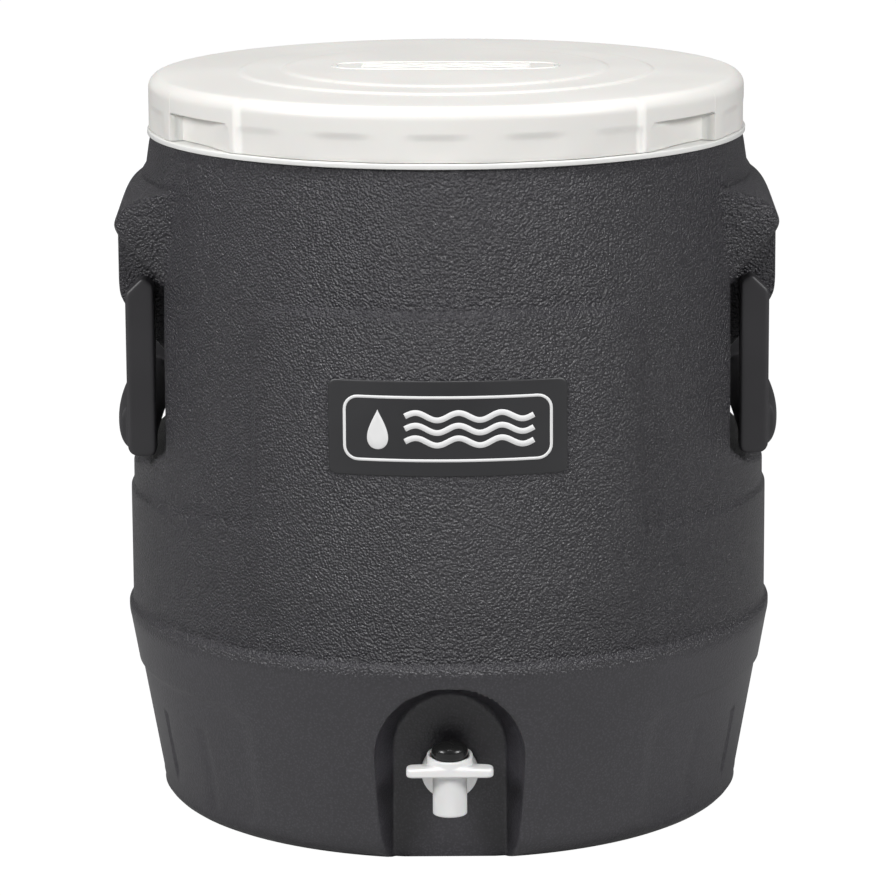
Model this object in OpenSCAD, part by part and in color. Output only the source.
// Insulated drinks jug: foamed double wall, screw lid, two swing handles and a
// push-button tap in an arched alcove. It stands on Z = 0 with the tap towards -Y
// and the handles on the X sides. All sizes are in millimetres.

/* [Jacket] */
// Greatest radius of the jacket, at the rib
body_r = 178.6; // [148:0.1:216]
// Height of the jacket's top edge
body_h = 372.5; // [310:0.5:450]
// Thickness of the jacket wall
wall = 3; // [2.4:0.1:3.6]
// Radius of the rounded base edge
base_fillet = 17; // [8:0.5:19]
// How far the jacket lies inside the rib just above the base edge
foot_inset = 16.6; // [10:0.2:20]
// Height of the rib
rib_z = 109; // [100:1:130]
// Height over which the rib steps back
rib_step = 9; // [6:1:12]
// How far the barrel lies inside the rib
belly_inset = 3.5; // [2:0.1:5]
// How far the top edge lies inside the rib
top_inset = 14.7; // [12:0.1:18]
// How far the lower band and the front and rear panels stand proud
panel_proud = 0.9; // [0.5:0.1:2]
// Height of the side ledge above the rib
ledge_rise = 69; // [60:1:74]
// Depth of the front panel's ledge below the top edge
panel_drop = 72; // [60:1:80]
// Half the angle that the front and rear panels cover
panel_angle = 33; // [24:1:34]

/* [Liner] */
// Inside radius of the liner's mouth
mouth_r = 136; // [112:0.5:140]
// Draft of the liner, from the mouth to the floor
liner_draft = 4; // [1:0.5:6]
// Thickness of the liner wall
liner_wall = 3; // [2.4:0.1:3.6]
// Height of the liner's underside
liner_z = 17; // [12:0.5:19]
// Radius of the liner's floor corner
liner_fillet = 11; // [6:0.5:12]
// Thickness of the deck that covers the jacket's top edge
deck_t = 2.8; // [2:0.1:4]
// Height of the threaded neck above the deck
neck_h = 20.6; // [18:0.2:24]

/* [Lid] */
// How far the lid's skirt lies inside the deck's edge
skirt_inset = 0.9; // [0:0.1:3]
// Height of the lid's skirt up to its rounded edge
skirt_h = 22; // [20:0.5:26]
// Radius of the lid's rounded edge
lid_edge = 7; // [4:0.5:8]
// Thickness of the lid's wall
lid_wall = 2.8; // [2:0.1:3.4]
// Rise of each of the two steps on the lid's top
lid_step = 1.4; // [0.5:0.1:2]
// Outer radius of the lower step
step_r = 113; // [90:1:120]
// Outer radius of the centre disc
disc_r = 90; // [60:1:96]
// Depth of the lid's pan below the neck's rim
pan_depth = 10; // [6:0.5:14]
// Depth of a finger notch at its deep end
notch_depth = 7.5; // [5:0.5:9]
// Height of a finger notch
notch_h = 15; // [10:0.5:16]
// Thickness of the lid's gasket
gasket_t = 3; // [2:0.2:4]
// Rise of the lid in one full turn of its four-start thread
thread_lead = 60; // [48:1:72]
// Height of a thread ridge
ridge_t = 2.4; // [1.8:0.1:2.6]

/* [Handles] */
// How far the flat behind a handle lies inside the rib
flat_inset = 26.6; // [24:0.2:30]
// How far the pivot axis lies outside that flat
pivot_out = 13.2; // [13:0.1:15]
// Depth of the pivot axis below the jacket's top edge
pivot_drop = 80.5; // [76:0.5:90]
// Distance from the pivot down to the middle of the grip
handle_drop = 73; // [60:1:80]
// Half the distance between the arms' inner faces
arm_y = 62; // [54:0.5:64]
// Thickness of an arm along the pivot axis
arm_t = 14; // [10:0.5:15]
// Width of an arm, outwards from the jacket
arm_w = 15.6; // [12:0.2:16]
// Radius of a pivot pin
pin_r = 4.5; // [3:0.1:5.5]
// Length of a pivot pin
pin_l = 12; // [8:0.5:20]
// Radial clearance of a pivot pin in its bore
pin_gap = 0.08; // [0.05:0.01:0.1]
// How far the hood over a handle stands outside the flat
hood_out = 25.5; // [23:0.5:30]
// Half the length of the hood
hood_y = 80; // [78:0.5:84]

/* [Tap] */
// Radius of the alcove's arch at the mouth
arch_r = 38.7; // [32:0.1:42]
// Radius of the alcove's arch at its back wall
arch_back_r = 30; // [26:0.5:31]
// Height of the alcove's top
arch_top = 99; // [84:0.5:99]
// Depth of the alcove behind the rib
alcove_depth = 35; // [31:0.2:36]
// Depth over which the alcove's sides spread out from its back wall
alcove_draft = 17; // [12:0.5:24]
// Height of the tap's shank axis
tap_z = 48; // [46:0.5:52]
// Distance from the alcove's back wall to the spout's axis
spout_out = 17.4; // [15:0.1:18]
// Outside radius of the spout
spout_r = 9.1; // [7.5:0.1:9.5]
// Height of the spout's lower end
spout_z = 28.8; // [24:0.2:32]
// Outside radius of the button cup
cup_r = 12.1; // [11:0.1:13]
// Wall of the button cup
cup_wall = 2; // [1.4:0.1:2.4]
// Radius of the tap's flange
flange_r = 15.2; // [13:0.1:17]
// Outside radius of the tap's shank
shank_r = 8.5; // [7:0.1:9]
// Half the span of the finger wings
wing_x = 23; // [18:0.5:26]
// Height of the cup's rim above the shank axis
rim_rise = 12; // [11:0.1:14]
// Travel of the button
press = 3.4; // [2.4:0.1:4]
// Height of the button above the cup's rim
button_rise = 8; // [6:0.5:9]

/* [Label] */
// Width of the label plate
label_w = 123; // [100:1:130]
// Height of the label plate
label_h = 50; // [40:1:56]
// Distance from the panel's ledge down to the label
label_drop = 36; // [30:1:44]
// Thickness of the label plate
label_t = 1.2; // [0.8:0.1:1.6]

/* [Hidden] */
$fn = 96;

// Jacket
foot_r = body_r - foot_inset;
belly_r = body_r - belly_inset;
top_r = body_r - top_inset;
bow_z = rib_z + 41;
bow_power = 2.94;
rib_flat = 1;
rib_round = 0.6;
ledge_soft = 4;
ledge_z = rib_z + ledge_rise;
panel_top = body_h - panel_drop;
port_r = 11;
port_x = 62;

// Neck, deck and lid
deck_z = body_h + deck_t;
neck_top = deck_z + neck_h;
neck_r = mouth_r + liner_wall;
lid_gap = 0.3;
lid_z = deck_z + lid_gap;
lid_r = top_r - skirt_inset;
lid_edge_z = lid_z + skirt_h;
lid_top = lid_edge_z + lid_edge;
lid_crown = lid_top + 2 * lid_step;
ceiling_z = lid_top - lid_wall;
seal_gap = 0.1;
gasket_z = neck_top + seal_gap;
gasket_w = 4.4;
panel_z = gasket_z + gasket_t;
panel_t = 2.6;
pan_gap = 1.5;
pan_r = mouth_r - pan_gap;
pan_z = neck_top - pan_depth;
panel_r = lid_r - lid_edge;
ridge_out = 3.4;
ridge_gap = 0.8;
ring_r = neck_r + ridge_out + 3;
ring_z = deck_z + 2.5;
ridge_arc = 60;
ridge_starts = 4;
ridge_z = deck_z + 5.2;
ridge_play = 0.6;
notch_from = 43;
notch_to = 62;

// Handles
flat_x = body_r - flat_inset;
pivot_x = flat_x + pivot_out;
pivot_z = body_h - pivot_drop;
grip_z = pivot_z - handle_drop;
hood_x = flat_x + hood_out;
hood_top = body_h - 21;
hood_tip = pivot_z + 36;
hood_low = pivot_z + 7;
recess_low = grip_z - 12;
lip_drop = 16;
boss_low = pivot_z - 28;
boss_y = arm_y - 0.5;
grip_out = 2.4;
grip_a = 12;
grip_b = 14;
arm_top = 10;
arm_bevel = 5;

// Tap, along Y from the alcove's back wall towards the front
wall_y = body_r - alcove_depth;
arch_z = arch_top - arch_r;
tap_gasket_t = 2;
flange_t = 3.2;
flange_y = wall_y + tap_gasket_t;
spout_y = wall_y + spout_out;
hole_r = shank_r + 0.6;
pad_r = 16.5;
pad_y = mouth_r - liner_draft - 2.6;
washer_t = 2.5;
nut_t = 8;
nut_r = 16;
shank_end = pad_y - washer_t - nut_t - 2;
bore_r = 5;
spout_wall = 1.6;

// Tap, along Z
seat_z = tap_z - 8;
seat_t = 2;
chamber_top = tap_z + bore_r + 0.5;
cup_floor = chamber_top + 1.2;
neck_tube_r = bore_r + 1.2;
shoulder_r = spout_r + 0.6;
shoulder_z = tap_z - neck_tube_r - 0.3;
rim_z = tap_z + rim_rise;
wing_z = tap_z + 3.3;
wing_t = 3.8;
button_r = cup_r - cup_wall - 0.4;
button_z = cup_floor + press + 0.3;
button_top = rim_z + button_rise;
button_wall = 1.4;
dome = 4.5;
button_skirt = button_top - dome - button_z;
stem_r = 2.2;
stem_gap = 0.4;
seal_r = spout_r - spout_wall - 0.6;
seal_t = 2.6;
seal_z = seat_z - seat_t - 0.2 - seal_t;
cap_t = 1.6;
spring_r = 5;
spring_wire = 0.8;
spring_turns = 3;

function mix(a, b, t) = a + (b - a) * t;

// ---- Jacket ----

function belly(z) = belly_r - (top_inset - belly_inset)
    * pow(max(0, z - bow_z) / (body_h - bow_z), bow_power);

function proud(z, edge) = panel_proud * min(1, max(0, (edge - z) / ledge_soft));

function barrel_heights(edge) = concat(
    [rib_z + rib_step, bow_z, edge - ledge_soft],
    [for (t = [0 : 0.1 : 1]) mix(edge, body_h, t)]);

// Half outline of the jacket, moved in by inset, with a ledge at the height edge
function jacket_outline(inset, edge) = concat(
    [[0, inset]],
    [for (a = [-90 : 15 : 0])
        [foot_r - base_fillet + (base_fillet - inset) * cos(a),
         base_fillet + (base_fillet - inset) * sin(a)]],
    [[body_r - rib_round - inset, rib_z - 5],
     [body_r - inset, rib_z],
     [body_r - inset, rib_z + rib_flat]],
    [for (z = barrel_heights(edge)) [belly(z) + proud(z, edge) - inset, z]],
    [[0, body_h]]);

module panel_sector() {
    reach = 2 * body_r;
    span = reach * tan(panel_angle);
    linear_extrude(height = body_h)
        polygon([[0, 0], [span, -reach], [-span, -reach]]);
}

module jacket_form(inset) {
    rotate_extrude() polygon(jacket_outline(inset, ledge_z));
    for (turn = [0, 180])
        rotate([0, 0, turn])
            intersection() {
                rotate_extrude() polygon(jacket_outline(inset, panel_top));
                panel_sector();
            }
}

// Arched tap alcove, grown by grow on every side: drafted at its back, straight in front
module alcove(grow) {
    deep = alcove_depth + 4 + grow;
    mouth = arch_r + grow;
    back = arch_back_r + grow;
    back_y = grow - wall_y;
    translate([0, back_y, arch_z])
        rotate([90, 0, 0])
            rotate_extrude()
                polygon([[0, 0], [back, 0], [mouth, alcove_draft], [mouth, deep], [0, deep]]);
    translate([0, 0, -1])
        linear_extrude(height = arch_z + 1)
            polygon([[-back, back_y], [back, back_y],
                     [mouth, back_y - alcove_draft], [mouth, back_y - deep],
                     [-mouth, back_y - deep], [-mouth, back_y - alcove_draft]]);
}

// Flat behind a handle, cut out of the barrel's side
module handle_recess(grow) {
    x = flat_x - grow;
    far = body_r + 40;
    slope = (hood_tip - hood_low) / (hood_x - flat_x);
    translate([0, hood_y + 30, 0])
        rotate([90, 0, 0])
            linear_extrude(height = 2 * (hood_y + 30))
                polygon([[x, recess_low - grow],
                         [far, recess_low - grow - lip_drop * (far - x) / (body_r - flat_x)],
                         [far, hood_low + slope * (far - flat_x) + grow],
                         [x, hood_low + grow]]);
}

module hood() {
    root = flat_x - 8;
    translate([0, hood_y, 0])
        rotate([90, 0, 0])
            linear_extrude(height = 2 * hood_y)
                polygon([[root, hood_low], [flat_x, hood_low], [hood_x - 1, hood_tip - 2],
                         [hood_x, hood_tip], [hood_x - 0.5, hood_tip + 3],
                         [root, hood_top]]);
}

// Block under the hood that carries the pivot pins
module pivot_boss() {
    root = flat_x - 1;
    translate([0, boss_y, 0])
        rotate([90, 0, 0])
            linear_extrude(height = 2 * boss_y)
                polygon([[root, boss_low - 6], [flat_x + 4, boss_low],
                         [hood_x - 5, pivot_z - 8], [hood_x - 0.8, pivot_z - 3],
                         [hood_x - 0.4, pivot_z + 4], [hood_x - 0.4, hood_tip],
                         [hood_x - 3, hood_tip + 1], [root, hood_low + 4]]);
}

module pivot_bores() {
    for (side = [-1, 1])
        translate([pivot_x, side * (boss_y + 1), pivot_z])
            rotate([90 * side, 0, 0])
                cylinder(h = pin_l + 2.5, r = pin_r + pin_gap);
}

module port_holes() {
    for (side = [-1, 1])
        translate([side * port_x, 0, -1])
            cylinder(h = wall + 2, r = port_r);
}

// Skin that the label plate fills, between two offsets of the front panel
module label_block() {
    bottom = panel_top - label_drop - label_h;
    corner = 3;
    intersection() {
        difference() {
            rotate_extrude() polygon(jacket_outline(-0.3, panel_top));
            rotate_extrude() polygon(jacket_outline(label_t - 0.3, panel_top));
        }
        translate([0, 0, bottom])
            rotate([90, 0, 0])
                linear_extrude(height = 2 * body_r)
                    hull()
                        for (x = [-1, 1], z = [corner, label_h - corner])
                            translate([x * (label_w / 2 - corner), z])
                                circle(corner, $fn = 32);
    }
}

module jacket_outside() {
    difference() {
        jacket_form(0);
        alcove(0);
        for (side = [0, 1]) mirror([side, 0, 0]) handle_recess(0);
    }
    for (side = [0, 1])
        mirror([side, 0, 0]) {
            hood();
            pivot_boss();
        }
}

module jacket_inside() {
    difference() {
        jacket_form(wall);
        alcove(wall);
        for (side = [0, 1]) mirror([side, 0, 0]) handle_recess(wall);
    }
}

module shank_hole(r) {
    translate([0, -wall_y - 8, tap_z])
        rotate([-90, 0, 0])
            cylinder(h = 60, r = r);
}

module outer_shell() {
    color([0.29, 0.29, 0.31])
        difference() {
            jacket_outside();
            jacket_inside();
            shank_hole(hole_r);
            port_holes();
            label_block();
            for (side = [0, 1]) mirror([side, 0, 0]) pivot_bores();
        }
}

module foam_port_plugs() {
    color([0.2, 0.2, 0.21])
        for (side = [-1, 1])
            translate([side * port_x, 0, 0])
                cylinder(h = wall, r = port_r);
}

module front_label() {
    color([0.22, 0.22, 0.23]) label_block();
}

// ---- Liner and foam ----

function liner_outline(out) = concat(
    [[0, liner_z + liner_wall - out]],
    [for (a = [-90 : 18 : 0])
        [mouth_r - liner_draft - liner_fillet + (liner_fillet + out) * cos(a),
         liner_z + liner_wall + liner_fillet + (liner_fillet + out) * sin(a)]],
    [[mouth_r + out, body_h - 30]]);

module liner_body(out, top) {
    rotate_extrude()
        polygon(concat(liner_outline(out), [[mouth_r + out, top], [0, top]]));
}

// Tube that lines the shank's hole through the foam, with a flat inside pad
module liner_tube(r) {
    translate([0, -wall_y + wall, tap_z])
        rotate([-90, 0, 0])
            cylinder(h = wall_y - wall - pad_y - 0.5, r = r);
}

module liner_pad() {
    translate([0, -pad_y - 4, tap_z])
        rotate([-90, 0, 0])
            cylinder(h = 4, r = pad_r);
}

module foam_core() {
    color([0.93, 0.87, 0.66])
        difference() {
            jacket_inside();
            liner_body(liner_wall, body_h + 1);
            liner_tube(hole_r + liner_wall);
        }
}

// One thread ridge: a square bar that climbs along the thread's helix
module thread_ridge(r_in, r_out, z) {
    steps = 15;
    rings = [for (i = [0 : steps])
        let (a = ridge_arc * i / steps, h = z + thread_lead * a / 360)
            [[r_in * cos(a), r_in * sin(a), h],
             [r_out * cos(a), r_out * sin(a), h + 0.4],
             [r_out * cos(a), r_out * sin(a), h + ridge_t - 0.4],
             [r_in * cos(a), r_in * sin(a), h + ridge_t]]];
    points = [for (ring = rings) each ring];
    sides = [for (i = [0 : steps - 1], k = [0 : 3])
        [4 * i + k, 4 * i + (k + 1) % 4, 4 * i + 4 + (k + 1) % 4, 4 * i + 4 + k]];
    last = 4 * steps;
    polyhedron(points, concat([[3, 2, 1, 0]], sides,
                              [[last, last + 1, last + 2, last + 3]]), convexity = 4);
}

module inner_liner() {
    color([0.95, 0.95, 0.93])
        difference() {
            union() {
                liner_body(liner_wall, neck_top);
                translate([0, 0, body_h]) cylinder(h = deck_t, r = top_r);
                liner_tube(hole_r + liner_wall);
                for (start = [0 : ridge_starts - 1])
                    rotate([0, 0, start * 360 / ridge_starts])
                        thread_ridge(neck_r - 1, neck_r + ridge_out, ridge_z);
            }
            difference() {
                liner_body(0, neck_top + 1);
                liner_pad();
            }
            shank_hole(hole_r);
        }
}

// ---- Lid ----

function rounded_edge(r, z, edge, inset) =
    [for (a = [0 : 15 : 90]) [r - edge + (edge - inset) * cos(a), z + (edge - inset) * sin(a)]];

// Corner points of one finger notch in plan, grown inwards by grow
function notch_outline(grow) = [
    [(lid_r + 0.5) * sin(notch_from) - grow, -(lid_r + 0.5) * cos(notch_from) + grow],
    [(lid_r - notch_depth - grow) * sin(notch_to), -(lid_r - notch_depth - grow) * cos(notch_to)],
    [(lid_r - notch_depth - grow) * sin(notch_to) + grow,
     -(lid_r - notch_depth - grow) * cos(notch_to) + grow],
    [(lid_r + 9) * sin(notch_to) + grow, -(lid_r + 9) * cos(notch_to) + grow],
    [(lid_r + 9) * sin(notch_from), -(lid_r + 9) * cos(notch_from)]];

module notches(grow) {
    for (left = [0, 1], rear = [0, 1])
        mirror([left, 0, 0])
            mirror([0, rear, 0])
                translate([0, 0, lid_z - 1])
                    linear_extrude(height = notch_h + 1 + grow)
                        polygon(notch_outline(grow));
}

module lid_outside() {
    rotate_extrude()
        polygon(concat([[0, lid_z], [lid_r, lid_z]],
                       rounded_edge(lid_r, lid_edge_z, lid_edge, 0),
                       [[step_r, lid_top], [step_r - 2, lid_top + lid_step],
                        [disc_r, lid_top + lid_step], [disc_r - 4, lid_crown],
                        [0, lid_crown]]));
}

module lid_inside() {
    rotate_extrude()
        polygon(concat([[0, lid_z - 1], [lid_r - lid_wall, lid_z - 1]],
                       rounded_edge(lid_r, lid_edge_z, lid_edge, lid_wall),
                       [[0, ceiling_z]]));
}

module lid_cover() {
    color([0.95, 0.95, 0.93])
        difference() {
            lid_outside();
            notches(0);
            difference() {
                lid_inside();
                notches(lid_wall);
            }
        }
}

// Pan that hangs into the neck, flange under the cover and threaded ring
module lid_inner_panel() {
    color([0.93, 0.93, 0.91]) {
        rotate_extrude()
            polygon([[0, pan_z], [pan_r, pan_z], [pan_r, panel_z],
                     [ring_r, panel_z], [ring_r, ring_z],
                     [ring_r + panel_t, ring_z], [ring_r + panel_t, panel_z],
                     [panel_r, panel_z], [panel_r, ceiling_z],
                     [pan_r - panel_t, ceiling_z],
                     [pan_r - panel_t, pan_z + panel_t], [0, pan_z + panel_t]]);
        for (start = [0 : ridge_starts - 1])
            rotate([0, 0, start * 360 / ridge_starts])
                thread_ridge(neck_r + ridge_gap, ring_r + 1,
                             ridge_z - ridge_t - ridge_play);
    }
}

module lid_foam() {
    color([0.93, 0.87, 0.66])
        translate([0, 0, pan_z + panel_t])
            cylinder(h = ceiling_z - pan_z - panel_t, r = pan_r - panel_t);
}

module lid_gasket() {
    color([0.8, 0.8, 0.78])
        translate([0, 0, gasket_z])
            difference() {
                cylinder(h = gasket_t, r = mouth_r + gasket_w);
                translate([0, 0, -1]) cylinder(h = gasket_t + 2, r = mouth_r - 0.4);
            }
}

// ---- Handles ----

function grip_outline() = [for (a = [0 : 12 : 348])
    let (c = cos(a), s = sin(a))
        [grip_a * sign(c) * pow(abs(c), 0.8), grip_b * sign(s) * pow(abs(s), 0.8)]];

// One handle on the +X side: two arms, the grip bar and the pivot pins
module handle() {
    half = arm_w / 2;
    foot = grip_z - grip_b;
    for (side = [-1, 1]) {
        translate([pivot_x, side * (arm_y + arm_t / 2) + arm_t / 2, 0])
            rotate([90, 0, 0])
                linear_extrude(height = arm_t)
                    polygon([[-half, foot + arm_bevel], [arm_bevel - half, foot],
                             [half - arm_bevel, foot], [half, foot + arm_bevel],
                             [half, pivot_z + arm_top - 8], [half - 8, pivot_z + arm_top],
                             [3 - half, pivot_z + arm_top - 1], [-half, pivot_z + arm_top - 5]]);
        translate([pivot_x, side * (arm_y + 1), pivot_z])
            rotate([90 * side, 0, 0])
                cylinder(h = pin_l + 1, r = pin_r);
    }
    translate([pivot_x + grip_out, arm_y + 1, grip_z])
        rotate([90, 0, 0])
            linear_extrude(height = 2 * (arm_y + 1))
                polygon(grip_outline());
}

module left_handle() {
    color([0.25, 0.25, 0.26]) mirror([1, 0, 0]) handle();
}

module right_handle() {
    color([0.25, 0.25, 0.26]) handle();
}

// ---- Tap ----

module along_shank(from, to, r) {
    translate([0, -from, tap_z])
        rotate([-90, 0, 0])
            cylinder(h = from - to, r = r);
}

module spout_column(from, to, r) {
    translate([0, -spout_y, from]) cylinder(h = to - from, r = r);
}

// Finger plate that runs past the front half of the cup
module wings() {
    tip = 3.5;
    translate([0, -spout_y - cup_r / 2, wing_z])
        linear_extrude(height = wing_t)
            hull()
                for (x = [-1, 1], y = [-1, 1])
                    translate([x * (wing_x - tip), y * (cup_r / 2 - tip)])
                        circle(tip, $fn = 32);
}

module tap_body() {
    color([0.96, 0.96, 0.95])
        difference() {
            union() {
                along_shank(flange_y + flange_t, flange_y, flange_r);
                along_shank(flange_y + flange_t / 2, shank_end, shank_r);
                along_shank(spout_y, flange_y + flange_t / 2, neck_tube_r);
                spout_column(spout_z, cup_floor, spout_r);
                spout_column(shoulder_z, cup_floor, shoulder_r);
                spout_column(wing_z, rim_z, cup_r);
                wings();
            }
            spout_column(cup_floor, rim_z + 1, cup_r - cup_wall);
            spout_column(chamber_top - 1, cup_floor + 1, stem_r + stem_gap);
            spout_column(seat_z, chamber_top, spout_r - spout_wall);
            spout_column(seat_z - seat_t - 1, seat_z + 1, bore_r);
            spout_column(spout_z - 1, seat_z - seat_t, spout_r - spout_wall);
            along_shank(spout_y, shank_end - 1, bore_r);
        }
}

module tap_gasket() {
    color([0.12, 0.12, 0.12])
        difference() {
            along_shank(flange_y, wall_y, flange_r - 0.6);
            along_shank(flange_y + 1, wall_y - 1, shank_r + 0.2);
        }
}

module tap_washer() {
    color([0.12, 0.12, 0.12])
        difference() {
            along_shank(pad_y, pad_y - washer_t, nut_r - 1);
            along_shank(pad_y + 1, pad_y - washer_t - 1, shank_r + 0.2);
        }
}

module tap_nut() {
    color([0.96, 0.96, 0.95])
        difference() {
            translate([0, -pad_y + washer_t, tap_z])
                rotate([-90, 0, 0])
                    cylinder(h = nut_t, r = nut_r, $fn = 6);
            along_shank(pad_y, pad_y - washer_t - nut_t - 1, shank_r + 0.1);
        }
}

// Domed button with a short skirt that slides in the cup
module tap_button() {
    inner = button_r - button_wall;
    color([0.05, 0.05, 0.05])
        translate([0, -spout_y, button_z])
            rotate_extrude()
                polygon(concat([[inner, 0], [button_r, 0], [button_r, button_skirt]],
                               [for (a = [10 : 10 : 90])
                                   [button_r * pow(cos(a), 0.8), button_skirt + dome * sin(a)]],
                               [[0, button_skirt], [inner, button_skirt]]));
}

module tap_stem() {
    color([0.96, 0.96, 0.95])
        spout_column(seal_z - cap_t, button_z + button_skirt, stem_r);
}

module tap_stem_seal() {
    height = 2;
    color([0.12, 0.12, 0.12])
        difference() {
            spout_column(chamber_top - height, chamber_top, stem_r + 2.6);
            spout_column(chamber_top - height - 1, chamber_top + 1, stem_r + 0.35);
        }
}

module tap_valve_seal() {
    color([0.7, 0.1, 0.08])
        difference() {
            spout_column(seal_z, seal_z + seal_t, seal_r);
            spout_column(seal_z - 1, seal_z + seal_t + 1, stem_r);
        }
}

module tap_seal_cap() {
    color([0.96, 0.96, 0.95])
        difference() {
            spout_column(seal_z - cap_t, seal_z, stem_r + 1.8);
            spout_column(seal_z - cap_t - 1, seal_z + 1, stem_r);
        }
}

// Coil spring between the cup's floor and the button, swept along its helix
module tap_spring() {
    sides = 6;
    per_turn = 20;
    count = spring_turns * per_turn;
    low = cup_floor + spring_wire / 2 + 0.1;
    high = button_z + button_skirt - spring_wire / 2 - 0.1;
    points = [for (i = [0 : count], k = [0 : sides - 1])
        let (a = 360 * i / per_turn, t = 360 * k / sides,
             r = spring_r + spring_wire / 2 * cos(t))
            [r * cos(a), r * sin(a) - spout_y,
             mix(low, high, i / count) + spring_wire / 2 * sin(t)]];
    skin = [for (i = [0 : count - 1], k = [0 : sides - 1])
        [sides * i + k, sides * i + (k + 1) % sides,
         sides * (i + 1) + (k + 1) % sides, sides * (i + 1) + k]];
    ends = [[for (k = [0 : sides - 1]) sides - 1 - k],
            [for (k = [0 : sides - 1]) sides * count + k]];
    color([0.75, 0.76, 0.78])
        polyhedron(points, concat(skin, ends), convexity = 8);
}

outer_shell();
foam_core();
foam_port_plugs();
inner_liner();
front_label();
left_handle();
right_handle();
lid_cover();
lid_foam();
lid_inner_panel();
lid_gasket();
tap_body();
tap_gasket();
tap_washer();
tap_nut();
tap_button();
tap_stem();
tap_stem_seal();
tap_spring();
tap_valve_seal();
tap_seal_cap();
